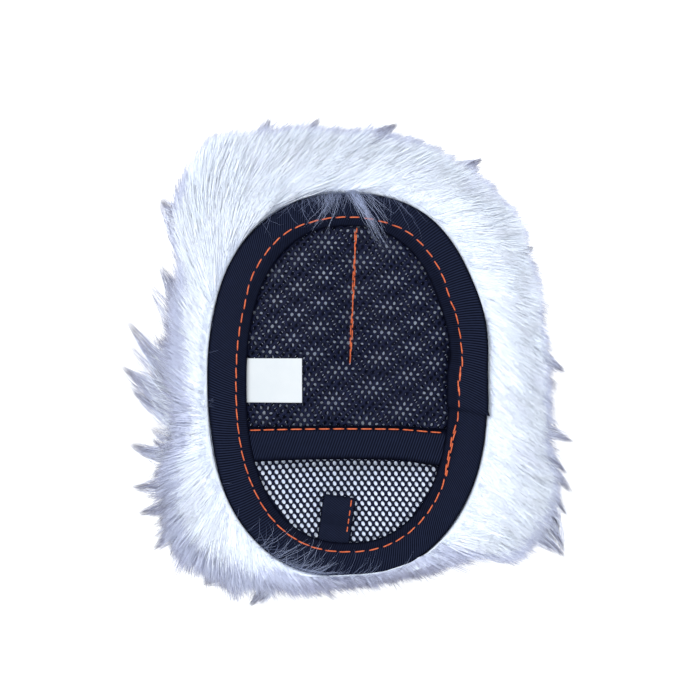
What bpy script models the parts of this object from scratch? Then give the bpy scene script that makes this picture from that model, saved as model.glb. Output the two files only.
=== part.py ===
"""A wool wash mitt, lying on its wool with the hand pocket up.

Units are metres and +Z is up. The fingertips point to +Y and the wrist to -Y. The origin is the
centre of the base of the whole mitt's box. The mitt is a lambswool hide, sewn as a flat bag with the
wool outside. An oval mesh panel closes the bag, a second mesh with a taped hem makes the hand pocket
on it, a seam down the middle divides the pocket into two finger stalls, and a wide binding tape
covers the edges all round. A hanging loop and a blank label are sewn in under the binding.
"""

import math

import bmesh
import bpy
from mathutils import Matrix, Vector

MM = 0.001

# The whole mitt: its wool, seen from above.
PILE_HALF_WIDTH = 113 * MM
PILE_HALF_LENGTH = 128 * MM
PILE_POWER = 3.2

# The panel is an oval about this centre, between the binding's inner and outer edges.
PANEL_CENTRE = Vector((-2 * MM, -13 * MM, 0))
OVAL_POWER = 2.35
INNER_HALF_WIDTH = 54.5 * MM
INNER_HALF_LENGTH = 85.5 * MM
OUTER_HALF_WIDTH = 75.5 * MM
OUTER_HALF_LENGTH = 103.4 * MM

# The hide: a flat bag with a round fold at its edge. Heights are of the middle of its thickness.
HIDE_CENTRE = Vector((-1 * MM, -6 * MM, 0))
HIDE_HALF_WIDTH = 91 * MM
HIDE_HALF_LENGTH = 111 * MM
HIDE_POWER = 2.6
HIDE_THICKNESS = 1.6 * MM
HIDE_FLOOR_Z = 30.5 * MM
HIDE_LIP_Z = 33.2 * MM
HIDE_LIP_SHARE = 0.4

# The stack at the edge of the panel, from the hide up, with a gap between neighbours.
GAP = 0.3 * MM
PILE_GAP = 0.6 * MM
MESH_THICKNESS = 0.8 * MM
BASE_Z = HIDE_LIP_Z + HIDE_THICKNESS / 2 + GAP
POCKET_Z = BASE_Z + MESH_THICKNESS + GAP
TAPE_Z = POCKET_Z + MESH_THICKNESS + 1.1 * MM
BASE_EDGE_SHARE = 0.7
POCKET_EDGE_SHARE = 0.6

# The pocket's crown above the panel, the panel's dish below it, and the seam between the stalls.
CROWN = 9 * MM
DISH = 2.4 * MM
CROWN_POWER = 2.2
SEAM_FOOT = Vector((1.4 * MM, 11 * MM, 0))
SEAM_TIP = Vector((4.6 * MM, 84.8 * MM, 0))
SEAM_WIDTH = 12 * MM
SEAM_FADE = 16 * MM
SEAM_FOOT_CLEAR = 1.6 * MM

# The hem tape, folded over the pocket mesh at the mouth. Distances are along Y from the panel's centre.
HEM_TOP_Y = -22 * MM
HEM_MOUTH_Y = -40 * MM
MESH_MOUTH_Y = -36 * MM
HEM_THICKNESS = 1 * MM
HEM_GAP = 0.7 * MM
HEM_END_GAP = 0.5 * MM
HEM_STITCH_Y = HEM_TOP_Y - 2 * MM

# The binding's end laps over its start on the right-hand side.
LAP_TOP_ANGLE = math.radians(-12.5)
LAP_UNDER_ANGLE = math.radians(18.5)
LAP_RAMP = math.radians(12)
TAPE_RIM = 1.5 * MM
LAP_RISE = 2.6 * MM
STITCH_SHARE = 0.27
TACK_SHARE = 0.13

THREAD_RADIUS = 0.45 * MM

# The hanging loop: a strap folded on itself, hinged where it comes out of the binding.
LOOP_WIDTH = 17.5 * MM
LOOP_ROOT = Vector((-7 * MM, -80.2 * MM, 36.2 * MM))
LOOP_TURN = math.radians(-8)
LOOP_LENGTH = 20.3 * MM
LOOP_HALF_HEIGHT = 2.9 * MM
LOOP_STRAP = 0.8 * MM
LOOP_STUB = 5.5 * MM
LOOP_NECK = 10.5 * MM
LOOP_ROOT_RADIUS = 0.45 * MM
LOOP_TIP_LIFT = 2 * MM
LOOP_TAIL_LENGTH = 13 * MM
LOOP_TAIL_GAP = 1.2 * MM
HINGE_GAP = 0.3 * MM

# The label, hinged where it comes out of the binding on the left.
LABEL_HINGE_X = -52.3 * MM
LABEL_TIP_X = -24.4 * MM
LABEL_LOW_Y = -9.7 * MM
LABEL_HIGH_Y = 14.1 * MM
LABEL_THICKNESS = 0.5 * MM
LABEL_GAP = 0.5 * MM
LABEL_TAIL_LENGTH = 9 * MM

RING_STEPS = 48
TAPE_STEPS = 72
SHEET_STEPS = 18
FOLD_STEPS = 4


def smoothstep(value):
    value = min(max(value, 0.0), 1.0)
    return value * value * (3 - 2 * value)


def superellipse(angle, half_width, half_length, power):
    """Distance from the centre to a superellipse, in the direction of angle."""
    across = abs(math.cos(angle)) / half_width
    along = abs(math.sin(angle)) / half_length
    return (across**power + along**power) ** (-1 / power)


def outline_point(angle, half_width, half_length, power, centre, z):
    reach = superellipse(angle, half_width, half_length, power)
    return Vector((centre.x + reach * math.cos(angle), centre.y + reach * math.sin(angle), z))


def rim_point(angle, share, z):
    """A point across the binding: share is 0 at its inner edge and 1 at its outer edge."""
    inner = superellipse(angle, INNER_HALF_WIDTH, INNER_HALF_LENGTH, OVAL_POWER)
    outer = superellipse(angle, OUTER_HALF_WIDTH, OUTER_HALF_LENGTH, OVAL_POWER)
    reach = inner + (outer - inner) * share
    return PANEL_CENTRE + Vector((reach * math.cos(angle), reach * math.sin(angle), z))


def seam_x(y):
    """The stall seam's place across the panel, as a straight line along it."""
    slope = (SEAM_TIP.x - SEAM_FOOT.x) / (SEAM_TIP.y - SEAM_FOOT.y)
    return SEAM_FOOT.x + (y - SEAM_FOOT.y) * slope


def fullness(x, y):
    """How far the panel's cloth leaves the plane of its edge: 0 at the edge and on the seam, up to 1."""
    power = OVAL_POWER
    reach = (abs(x) / INNER_HALF_WIDTH) ** power + (abs(y) / INNER_HALF_LENGTH) ** power
    inside = max(1 - reach ** (CROWN_POWER / power), 0)
    held = smoothstep((y - SEAM_FOOT.y + SEAM_FADE / 2) / SEAM_FADE)
    valley = math.exp(-(((x - seam_x(y)) / SEAM_WIDTH) ** 2))
    return inside * (1 - held * valley)


def pocket_under(x, y):
    return POCKET_Z + CROWN * fullness(x, y)


def pocket_top(x, y):
    return pocket_under(x, y) + MESH_THICKNESS


def make_material(name, colour, roughness):
    material = bpy.data.materials.new(name)
    material.use_nodes = True
    shader = material.node_tree.nodes["Principled BSDF"]
    shader.inputs["Base Color"].default_value = (*colour, 1)
    shader.inputs["Roughness"].default_value = roughness
    shader.inputs["Metallic"].default_value = 0
    return material


def add_object(name, data, colour, roughness):
    part = bpy.data.objects.new(name, data)
    part.data.materials.append(make_material(name, colour, roughness))
    mitt.objects.link(part)
    return part


def mesh_from(bm, name):
    bmesh.ops.recalc_face_normals(bm, faces=bm.faces)
    mesh = bpy.data.meshes.new(name)
    bm.to_mesh(mesh)
    bm.free()
    mesh.shade_smooth()
    mesh.set_sharp_from_angle(angle=math.radians(40))
    return mesh


def loft(rings, cap_start=True, cap_end=True):
    """A bmesh skin over closed rings of points, each with the same number of points."""
    bm = bmesh.new()
    loops = [[bm.verts.new(point) for point in ring] for ring in rings]
    for first, second in zip(loops, loops[1:]):
        count = len(first)
        for i in range(count):
            j = (i + 1) % count
            bm.faces.new((first[i], first[j], second[j], second[i]))
    if cap_start:
        bm.faces.new(loops[0])
    if cap_end:
        bm.faces.new(loops[-1])
    return bm


def ring(point_at):
    """A closed ring: point_at(angle) at equal angles all round."""
    return [point_at(math.tau * i / RING_STEPS) for i in range(RING_STEPS)]


def pile_ring(inset, z):
    width, length = PILE_HALF_WIDTH - inset, PILE_HALF_LENGTH - inset
    return ring(lambda a: outline_point(a, width, length, PILE_POWER, Vector(), z))


def crown_ring(share, z):
    """A ring on the wool's upper side, from the outline (share 0) to the binding (share 1)."""

    def point_at(angle):
        outer = outline_point(angle, PILE_HALF_WIDTH, PILE_HALF_LENGTH, PILE_POWER, Vector(), z)
        opening = rim_point(angle, 1, z)
        opening += (opening - PANEL_CENTRE).normalized() * PILE_GAP
        return outer.lerp(Vector((opening.x, opening.y, z)), share)

    return ring(point_at)


def hide_ring(grow, z):
    width, length = HIDE_HALF_WIDTH + grow, HIDE_HALF_LENGTH + grow
    return ring(lambda a: outline_point(a, width, length, HIDE_POWER, HIDE_CENTRE, z))


def fold_rings(grow):
    """The round fold at the hide's edge, from the lip down to the floor, grown outwards by grow."""
    radius = (HIDE_LIP_Z - HIDE_FLOOR_Z) / 2
    middle = (HIDE_LIP_Z + HIDE_FLOOR_Z) / 2
    rings = []
    for i in range(FOLD_STEPS + 1):
        turn = math.pi * (0.5 - i / FOLD_STEPS)
        rings.append(
            hide_ring((radius + grow) * math.cos(turn) - radius, middle + (radius + grow) * math.sin(turn))
        )
    return rings


def build_wool_pile():
    """The wool round the hide: one thick bowl, open at the panel, with a flat underside to rest on."""
    under = [(24, 0), (15, 1.6), (7, 6), (2, 13), (0, 21)]
    over = [(0.05, 30), (0.2, 36.5), (0.42, 41.5), (0.64, 43.5), (0.84, 43), (0.96, 41), (1, 38.5)]
    rings = [pile_ring(inset * MM, z * MM) for inset, z in under]
    rings += [crown_ring(share, z * MM) for share, z in over]
    clear = HIDE_THICKNESS / 2 + PILE_GAP
    rings.append(crown_ring(1, HIDE_LIP_Z + clear))
    rings += fold_rings(clear)
    mesh = mesh_from(loft(rings), "wool_pile")
    add_object("wool_pile", mesh, (0.8, 0.85, 0.92), 0.95)


def build_wool_hide():
    """The skin that the wool grows on: a flat bag whose lip reaches in under the binding."""
    rings = [ring(lambda a: rim_point(a, HIDE_LIP_SHARE, HIDE_LIP_Z))]
    rings += fold_rings(0)
    mesh = mesh_from(loft(rings, cap_start=False), "wool_hide")
    hide = add_object("wool_hide", mesh, (0.82, 0.8, 0.76), 0.8)
    solidify = hide.modifiers.new("thickness", "SOLIDIFY")
    solidify.thickness = HIDE_THICKNESS
    solidify.offset = 0


def cloth_grid(edge_share, height_at):
    """An oval sheet of quads, with a line of edges on the stall seam and one on the binding's inner edge."""
    bm = bmesh.new()
    bmesh.ops.create_grid(bm, x_segments=SHEET_STEPS, y_segments=SHEET_STEPS, size=1)
    inside = 1 - 2 / SHEET_STEPS
    width = (OUTER_HALF_WIDTH - INNER_HALF_WIDTH) * edge_share
    length = (OUTER_HALF_LENGTH - INNER_HALF_LENGTH) * edge_share
    for vert in bm.verts:
        u, v = vert.co.x, vert.co.y
        spread = (abs(u) ** OVAL_POWER + abs(v) ** OVAL_POWER) ** (1 / OVAL_POWER)
        step = max(abs(u), abs(v))
        reach = min(step / inside, 1)
        past = max(step - inside, 0) / (1 - inside)
        x = u / spread * (INNER_HALF_WIDTH * reach + width * past) if spread else 0
        y = v / spread * (INNER_HALF_LENGTH * reach + length * past) if spread else 0
        x += seam_x(y) * (1 - abs(u)) * (1 - v * v)
        vert.co = PANEL_CENTRE + Vector((x, y, height_at(x, y)))
    return bm


def add_sheet(name, bm, colour, roughness, thickness):
    """A cloth sheet whose lower face is the given surface."""
    for face in bm.faces:
        if face.normal.z < 0:
            face.normal_flip()
    mesh = bpy.data.meshes.new(name)
    bm.to_mesh(mesh)
    bm.free()
    mesh.shade_smooth()
    sheet = add_object(name, mesh, colour, roughness)
    solidify = sheet.modifiers.new("thickness", "SOLIDIFY")
    solidify.thickness = thickness
    solidify.offset = 1
    return sheet


def build_base_mesh():
    bm = cloth_grid(BASE_EDGE_SHARE, lambda x, y: BASE_Z - DISH * fullness(x, y))
    add_sheet("base_mesh", bm, (0.012, 0.014, 0.022), 0.7, MESH_THICKNESS)


def build_pocket_mesh():
    """The pocket's cloth, cut off straight at the mouth."""
    bm = cloth_grid(POCKET_EDGE_SHARE, pocket_under)
    everything = bm.verts[:] + bm.edges[:] + bm.faces[:]
    mouth = PANEL_CENTRE + Vector((0, MESH_MOUTH_Y, 0))
    bmesh.ops.bisect_plane(
        bm, geom=everything, dist=1e-6, plane_co=mouth, plane_no=(0, -1, 0), clear_outer=True
    )
    add_sheet("pocket_mesh", bm, (0.012, 0.014, 0.022), 0.7, MESH_THICKNESS)


def hem_half_width(y):
    """Half the width between the binding's inner edges at y, less a small gap."""
    share = 1 - (abs(y) / INNER_HALF_LENGTH) ** OVAL_POWER
    return INNER_HALF_WIDTH * share ** (1 / OVAL_POWER) - HEM_END_GAP


def build_hem_tape():
    """The tape on the pocket's edge, run across the mouth along the crown and turned under at the mouth."""
    over = MESH_THICKNESS + HEM_GAP
    fold = HEM_MOUTH_Y + 1.2 * MM
    inside = MESH_MOUTH_Y - 1 * MM
    middle = (HEM_TOP_Y + HEM_MOUTH_Y) / 2
    section = [
        (HEM_TOP_Y, over),
        (HEM_TOP_Y, over + HEM_THICKNESS),
        (middle, over + HEM_THICKNESS * 1.2),
        (fold, over + HEM_THICKNESS),
        (HEM_MOUTH_Y, over),
        (HEM_MOUTH_Y, HEM_THICKNESS / 2),
        (fold, 0),
        (inside, 0),
        (inside, over),
        (middle, over),
    ]
    stations = 20
    rings = []
    for i in range(stations + 1):
        u = 2 * i / stations - 1
        points = []
        for y, rise in section:
            x = u * hem_half_width(y)
            points.append(PANEL_CENTRE + Vector((x, y, pocket_under(x, y) + rise)))
        rings.append(points)
    mesh = mesh_from(loft(rings), "hem_tape")
    add_object("hem_tape", mesh, (0.009, 0.013, 0.032), 0.75)


def tape_section():
    """The binding's section, as (share of its width, height above its underside)."""
    return [
        (0, 0),
        (0.01, TAPE_RIM * 0.75),
        (0.12, TAPE_RIM),
        (0.3, TAPE_RIM),
        (0.52, TAPE_RIM * 1.25),
        (0.8, TAPE_RIM * 1.5),
        (0.96, TAPE_RIM * 1.1),
        (1, TAPE_RIM * 0.5),
        (0.97, 0),
    ]


def lap_rise(angle):
    """How far the tape is lifted where it runs over its own start; angle runs down to the lap's end."""
    return LAP_RISE * smoothstep((LAP_UNDER_ANGLE + LAP_RAMP - angle) / (LAP_RAMP * 0.8))


def build_binding_tape():
    """One strip all round the panel, from its start under the lap to its end on top of it."""
    start = LAP_UNDER_ANGLE
    end = LAP_TOP_ANGLE - math.tau
    rings = []
    for i in range(TAPE_STEPS + 1):
        angle = start + (end - start) * i / TAPE_STEPS
        lift = lap_rise(angle + math.tau)
        rings.append([rim_point(angle, share, TAPE_Z + height + lift) for share, height in tape_section()])
    mesh = mesh_from(loft(rings), "binding_tape")
    add_object("binding_tape", mesh, (0.009, 0.013, 0.032), 0.75)


def add_thread(name, points, closed=False):
    """A sewing thread as a thin round tube through the points."""
    curve = bpy.data.curves.new(name, "CURVE")
    curve.dimensions = "3D"
    spline = curve.splines.new("POLY")
    spline.points.add(len(points) - 1)
    for target, point in zip(spline.points, points):
        target.co = (*point, 1)
    spline.use_cyclic_u = closed
    curve.bevel_depth = THREAD_RADIUS
    curve.bevel_resolution = 2
    curve.use_fill_caps = True
    return add_object(name, curve, (0.62, 0.13, 0.05), 0.55)


def thread_height(base):
    return base + GAP + THREAD_RADIUS


def build_binding_stitch():
    """The thread round the panel; it climbs onto the lap and steps down at the lap's end."""
    steps = 60
    points = []
    for i in range(steps):
        angle = LAP_TOP_ANGLE - math.radians(1.5) - (math.tau - math.radians(2)) * i / (steps - 1)
        lift = lap_rise(angle + math.tau)
        points.append(rim_point(angle, STITCH_SHARE, thread_height(TAPE_Z + TAPE_RIM) + lift))
    add_thread("binding_stitch", points)


def build_lap_stitch():
    """The second row of stitches that holds the lap down."""
    steps = 10
    points = []
    for i in range(steps):
        angle = LAP_TOP_ANGLE + math.radians(2) + math.radians(27) * i / (steps - 1)
        points.append(rim_point(angle, TACK_SHARE, thread_height(TAPE_Z + TAPE_RIM + LAP_RISE)))
    add_thread("lap_stitch", points)


def build_hem_stitch():
    steps = 20
    rise = MESH_THICKNESS + HEM_GAP + HEM_THICKNESS * 1.2
    points = []
    for i in range(1, steps):
        x = (2 * i / steps - 1) * hem_half_width(HEM_STITCH_Y)
        height = thread_height(pocket_under(x, HEM_STITCH_Y) + rise)
        points.append(PANEL_CENTRE + Vector((x, HEM_STITCH_Y, height)))
    add_thread("hem_stitch", points)


def build_seam_stitch():
    """The seam down the middle of the pocket, which parts the two finger stalls."""
    steps = 14
    points = []
    for i in range(steps):
        place = SEAM_FOOT.lerp(SEAM_TIP, i / (steps - 1))
        clear = SEAM_FOOT_CLEAR * (1 - i / (steps - 1)) ** 2
        height = thread_height(pocket_top(place.x, place.y) + clear)
        points.append(PANEL_CENTRE + Vector((place.x, place.y, height)))
    add_thread("stall_seam_stitch", points)


def arc(centre, radius, start, end, steps):
    """Points on a circle in a plane, from start to end in radians."""
    turns = [start + (end - start) * i / steps for i in range(steps + 1)]
    return [(centre[0] + radius * math.cos(t), centre[1] + radius * math.sin(t)) for t in turns]


def strap_side(radius, neck, root_end):
    """The folded strap from the side: a round tip, two level runs back to the neck, and its root end."""
    tip = (LOOP_LENGTH - LOOP_HALF_HEIGHT, LOOP_TIP_LIFT)
    points = arc(tip, radius, -math.pi / 2, math.pi / 2, 10)
    points.append((neck, LOOP_TIP_LIFT + radius))
    points += root_end
    points.append((neck, LOOP_TIP_LIFT - radius))
    return points


def loop_frame():
    """From the strap's own plane (along it, up) and its width to the mitt's axes, about its root."""
    along = Matrix.Rotation(LOOP_TURN, 4, "Z") @ Vector((0, 1, 0))
    across = Matrix.Rotation(LOOP_TURN, 4, "Z") @ Vector((1, 0, 0))
    columns = Matrix((along, Vector((0, 0, 1)), across)).transposed()
    return Matrix.Translation(PANEL_CENTRE + LOOP_ROOT) @ columns.to_4x4()


def build_hanging_loop():
    """The strap that the mitt hangs from, a flat outline with the eye cut out, extruded to its width."""
    curve = bpy.data.curves.new("hanging_loop", "CURVE")
    curve.dimensions = "2D"
    curve.fill_mode = "BOTH"
    curve.extrude = LOOP_WIDTH / 2
    root = (HINGE_GAP + LOOP_ROOT_RADIUS, 0)
    stub = [(LOOP_STUB, LOOP_ROOT_RADIUS)]
    stub += arc(root, LOOP_ROOT_RADIUS, math.radians(90), math.radians(270), 4)
    stub.append((LOOP_STUB, -LOOP_ROOT_RADIUS))
    outer = strap_side(LOOP_HALF_HEIGHT, LOOP_NECK, stub)
    eye_end = [(LOOP_NECK - 1.5 * MM, LOOP_TIP_LIFT)]
    inner = strap_side(LOOP_HALF_HEIGHT - LOOP_STRAP, LOOP_NECK + 0.3 * MM, eye_end)
    for points in (outer, inner):
        spline = curve.splines.new("POLY")
        spline.points.add(len(points) - 1)
        for target, point in zip(spline.points, points):
            target.co = (*point, 0, 1)
        spline.use_cyclic_u = True
    strap = add_object("hanging_loop", curve, (0.009, 0.013, 0.032), 0.75)
    strap.matrix_world = loop_frame()


def build_loop_tail():
    """The strap's sewn ends, pressed flat between the panel and the binding, up to the hinge."""
    bm = bmesh.new()
    bmesh.ops.create_cube(bm, size=1)
    bmesh.ops.scale(bm, vec=(LOOP_TAIL_LENGTH, 2 * LOOP_ROOT_RADIUS, LOOP_WIDTH), verts=bm.verts)
    bmesh.ops.translate(bm, vec=(-LOOP_TAIL_LENGTH / 2 - LOOP_TAIL_GAP, 0, 0), verts=bm.verts)
    mesh = mesh_from(bm, "loop_tail")
    tail = add_object("loop_tail", mesh, (0.009, 0.013, 0.032), 0.75)
    tail.matrix_world = loop_frame()


def build_loop_stitch():
    """A row of stitches along the strap's right-hand edge, on its upper side."""
    top = LOOP_TIP_LIFT + LOOP_HALF_HEIGHT
    slope = LOOP_NECK - LOOP_STUB
    places = [
        (LOOP_LENGTH - LOOP_HALF_HEIGHT, top),
        (LOOP_NECK, top + GAP),
        (LOOP_STUB + slope / 2, (top + LOOP_ROOT_RADIUS) / 2 + 2 * GAP),
        (LOOP_STUB - 0.2 * MM, LOOP_ROOT_RADIUS + GAP),
        (2.6 * MM, LOOP_ROOT_RADIUS),
    ]
    across = LOOP_WIDTH / 2 - 2.2 * MM
    points = [loop_frame() @ Vector((along, thread_height(up), across)) for along, up in places]
    add_thread("loop_stitch", points)


def label_height(x, y):
    """The lower face of the label, a little above the pocket cloth."""
    return pocket_top(x, y) + LABEL_GAP


def add_label_piece(name, low_x, high_x, columns, height_at):
    bm = bmesh.new()
    rows = 4
    bmesh.ops.create_grid(bm, x_segments=columns, y_segments=rows, size=1)
    for vert in bm.verts:
        x = low_x + (high_x - low_x) * (vert.co.x + 1) / 2
        y = LABEL_LOW_Y + (LABEL_HIGH_Y - LABEL_LOW_Y) * (vert.co.y + 1) / 2
        vert.co = PANEL_CENTRE + Vector((x, y, height_at(x, y)))
    add_sheet(name, bm, (0.9, 0.93, 0.97), 0.5, LABEL_THICKNESS)


def build_label():
    """The blank label, lying on the pocket cloth."""
    add_label_piece("label", LABEL_HINGE_X + HINGE_GAP, LABEL_TIP_X, 7, label_height)


def build_label_tail():
    """The label's sewn edge, between the pocket cloth and the binding, up to the hinge."""
    edge = POCKET_Z + MESH_THICKNESS + GAP

    def height_at(x, y):
        return max(edge, pocket_top(x, y) + LABEL_GAP * smoothstep((x + INNER_HALF_WIDTH) / (2 * MM)))

    end = LABEL_HINGE_X - HINGE_GAP
    add_label_piece("label_tail", end - LABEL_TAIL_LENGTH, end, 10, height_at)


for old in list(bpy.data.objects):
    bpy.data.objects.remove(old, do_unlink=True)

mitt = bpy.data.collections.new("wash_mitt")
bpy.context.scene.collection.children.link(mitt)

build_wool_pile()
build_wool_hide()
build_base_mesh()
build_pocket_mesh()
build_hem_tape()
build_binding_tape()
build_binding_stitch()
build_lap_stitch()
build_hem_stitch()
build_seam_stitch()
build_hanging_loop()
build_loop_tail()
build_loop_stitch()
build_label()
build_label_tail()
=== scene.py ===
"""The looks of the wash mitt: wool in locks, mesh cloth, twill tapes, stitches, a strap and a label.

Every length is in metres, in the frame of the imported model: the mitt lies on its wool with the
pocket up, the fingertips point to +Y, and the origin is the centre of the base of its box. Places on
the panel, such as the hem's, are measured from PANEL_CENTRE.
"""

import math

import bpy
import numpy as np
from mathutils import Matrix, Vector
from mathutils.kdtree import KDTree


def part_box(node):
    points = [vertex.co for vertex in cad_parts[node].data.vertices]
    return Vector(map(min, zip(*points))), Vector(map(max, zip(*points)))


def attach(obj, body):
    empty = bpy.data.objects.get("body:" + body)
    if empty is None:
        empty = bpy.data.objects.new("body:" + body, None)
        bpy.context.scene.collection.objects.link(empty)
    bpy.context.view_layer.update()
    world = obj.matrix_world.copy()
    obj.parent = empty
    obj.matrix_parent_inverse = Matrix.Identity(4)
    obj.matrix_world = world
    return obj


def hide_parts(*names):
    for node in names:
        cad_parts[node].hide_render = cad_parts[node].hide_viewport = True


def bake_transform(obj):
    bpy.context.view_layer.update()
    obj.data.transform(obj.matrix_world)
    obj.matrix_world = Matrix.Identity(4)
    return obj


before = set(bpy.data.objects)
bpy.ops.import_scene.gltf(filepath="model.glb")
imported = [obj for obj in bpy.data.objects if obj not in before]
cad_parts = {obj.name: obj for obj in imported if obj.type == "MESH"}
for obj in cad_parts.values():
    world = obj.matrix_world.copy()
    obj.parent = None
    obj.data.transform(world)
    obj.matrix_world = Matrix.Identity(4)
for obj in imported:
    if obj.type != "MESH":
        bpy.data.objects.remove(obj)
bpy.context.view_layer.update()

MM = 0.001
TAU = math.tau
rng = np.random.default_rng(7)

# The panel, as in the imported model.
PANEL_CENTRE = np.array((-2.0, -13.0, 0.0)) * MM
OVAL_POWER = 2.35
INNER_HALF_WIDTH, INNER_HALF_LENGTH = 54.5 * MM, 85.5 * MM
OUTER_HALF_WIDTH, OUTER_HALF_LENGTH = 75.5 * MM, 103.4 * MM
HIDE_CENTRE = np.array((-1.0, -6.0, 0.0)) * MM
HIDE_HALF_WIDTH, HIDE_HALF_LENGTH, HIDE_POWER = 91 * MM, 111 * MM, 2.6
HIDE_THICKNESS, HIDE_LIP_SHARE = 1.6 * MM, 0.4
HIDE_FLOOR_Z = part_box("wool_hide")[0].z + HIDE_THICKNESS / 2
HIDE_LIP_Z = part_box("wool_hide")[1].z - HIDE_THICKNESS / 2
HIDE_FOLD, HIDE_MIDDLE = (HIDE_LIP_Z - HIDE_FLOOR_Z) / 2, (HIDE_LIP_Z + HIDE_FLOOR_Z) / 2
MESH_THICKNESS = 0.8 * MM
BASE_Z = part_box("base_mesh")[1].z - MESH_THICKNESS
POCKET_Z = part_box("pocket_mesh")[0].z
TAPE_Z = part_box("binding_tape")[0].z
CROWN, DISH, CROWN_POWER = 9 * MM, 2.4 * MM, 2.2
SEAM_FOOT, SEAM_TIP = np.array((1.4, 11.0)) * MM, np.array((4.6, 84.8)) * MM
SEAM_WIDTH, SEAM_FADE = 12 * MM, 16 * MM
HEM_TOP_Y, HEM_MOUTH_Y, MESH_MOUTH_Y = -22 * MM, -40 * MM, -36 * MM
HEM_GAP = 0.7 * MM
LAP_TOP_ANGLE, LAP_UNDER_ANGLE = math.radians(-12.5), math.radians(18.5)
LAP_RAMP, LAP_RISE = math.radians(12), 2.6 * MM
STITCH_SHARE = 0.27
LOOP_ROOT = np.array((-7.0, -80.2, 36.2)) * MM
LOOP_TURN, LOOP_WIDTH = math.radians(-8), 17.5 * MM
LOOP_LENGTH, LOOP_NECK, LOOP_STUB = 20.3 * MM, 10.5 * MM, 5.5 * MM
LOOP_HALF_HEIGHT, LOOP_STRAP, LOOP_TIP_LIFT = 2.9 * MM, 0.8 * MM, 2 * MM
LOOP_TAIL = 13 * MM
LABEL_TAIL_X, LABEL_HINGE_X, LABEL_TIP_X = -61 * MM, -52.3 * MM, -24.4 * MM
LABEL_LOW_Y, LABEL_HIGH_Y = -9.7 * MM, 14.1 * MM

# The wool's outline: how far it reaches from the panel's centre, every 15 degrees from +X, in mm.
WOOL_REACH = [
    112, 113, 121, 133, 137, 140, 141, 146, 159, 138, 107, 100,
    98, 100, 117, 134, 131, 118, 111, 110, 115, 136, 133, 116,
]  # fmt: skip
# How far the undercoat stays inside that outline.
FRINGE = 12 * MM
# How far the wool is combed round from straight out, every 30 degrees, in degrees.
WOOL_SWIRL = [-45, -45, -50, -60, -65, -52, -40, 15, 50, 75, 50, -20]
# How long the wool is, every 30 degrees, in mm.
WOOL_LENGTH = [24, 26, 28, 30, 38, 36, 36, 34, 30, 24, 27, 27]
# How far in from its outline the wool's painted shade begins, turning it from white to lilac, every 30 degrees,
# in mm.
WOOL_SHADE = [6, 5, 5, 7, 7, 8, 14, 15, 18, 30, 14, 8]
# Where the painted shade turns it from white to pale, lilac, grey and dark, as shares of that distance from
# where it starts.
WOOL_STEPS = (0, 0.7, 1.05, 1.6)
# How ragged the outline is, every 30 degrees.
WOOL_RAGGED = [1.3, 0.7, 0.6, 0.7, 0.8, 1, 1.8, 1.9, 1, 0.6, 0.7, 1.5]
# The hairs of the fleece, the locks that they are drawn into, the points along a hair, and how near the
# floor it may come.
STRANDS, LOCKS = 63000, 2500
HAIR_STATIONS, FLOOR_CLEAR = 6, 0.5 * MM


def smoothstep(value):
    value = np.clip(value, 0, 1)
    return value * value * (3 - 2 * value)


def unit(vectors):
    return vectors / np.maximum(np.linalg.norm(vectors, axis=-1, keepdims=True), 1e-12)


def superellipse(angle, half_width, half_length, power):
    """Distance from the centre to a superellipse, in the direction of angle."""
    across = np.abs(np.cos(angle)) / half_width
    along = np.abs(np.sin(angle)) / half_length
    return (across**power + along**power) ** (-1 / power)


def rim_reach(angle, share):
    """Distance from the panel's centre across the binding: share 0 is its inner edge, 1 its outer."""
    inner = superellipse(angle, INNER_HALF_WIDTH, INNER_HALF_LENGTH, OVAL_POWER)
    outer = superellipse(angle, OUTER_HALF_WIDTH, OUTER_HALF_LENGTH, OVAL_POWER)
    return inner + (outer - inner) * share


def on_panel(x, y, z):
    """Points at x, y from the panel's centre and at height z."""
    x, y, z = np.broadcast_arrays(x, y, z)
    return np.stack([x, y, z], axis=-1) + PANEL_CENTRE


def round_panel(angle, reach, z):
    return on_panel(reach * np.cos(angle), reach * np.sin(angle), z)


def rim_point(angle, share, z):
    return round_panel(angle, rim_reach(angle, share), z)


def rim_share(x, y):
    """Where a point lies across the binding, as in rim_reach."""
    angle = np.arctan2(y, x)
    inner, outer = rim_reach(angle, 0), rim_reach(angle, 1)
    return (np.hypot(x, y) - inner) / (outer - inner)


def seam_x(y):
    slope = (SEAM_TIP[0] - SEAM_FOOT[0]) / (SEAM_TIP[1] - SEAM_FOOT[1])
    return SEAM_FOOT[0] + (y - SEAM_FOOT[1]) * slope


def fullness(x, y):
    """How far the panel's cloth leaves the plane of its edge: 0 at the edge and on the seam, up to 1."""
    reach = (np.abs(x) / INNER_HALF_WIDTH) ** OVAL_POWER + (np.abs(y) / INNER_HALF_LENGTH) ** OVAL_POWER
    inside = np.maximum(1 - reach ** (CROWN_POWER / OVAL_POWER), 0)
    held = smoothstep((y - SEAM_FOOT[1] + SEAM_FADE / 2) / SEAM_FADE)
    valley = np.exp(-(((x - seam_x(y)) / SEAM_WIDTH) ** 2))
    return inside * (1 - held * valley)


def pocket_under(x, y):
    """The pocket cloth's lower face, with soft creases that run from the stall seam and the hem."""
    full = fullness(x, y)
    crease = np.sin(x / (9 * MM) + 1.7 * np.sin(y / (23 * MM))) * np.sin(y / (15 * MM) + x / (31 * MM))
    return POCKET_Z + CROWN * full + 0.5 * MM * crease * full


def panel_under(x, y):
    """The lower face of the mesh under the pocket."""
    return BASE_Z - DISH * fullness(x, y)


def pocket_top(x, y):
    return pocket_under(x, y) + MESH_THICKNESS


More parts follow.
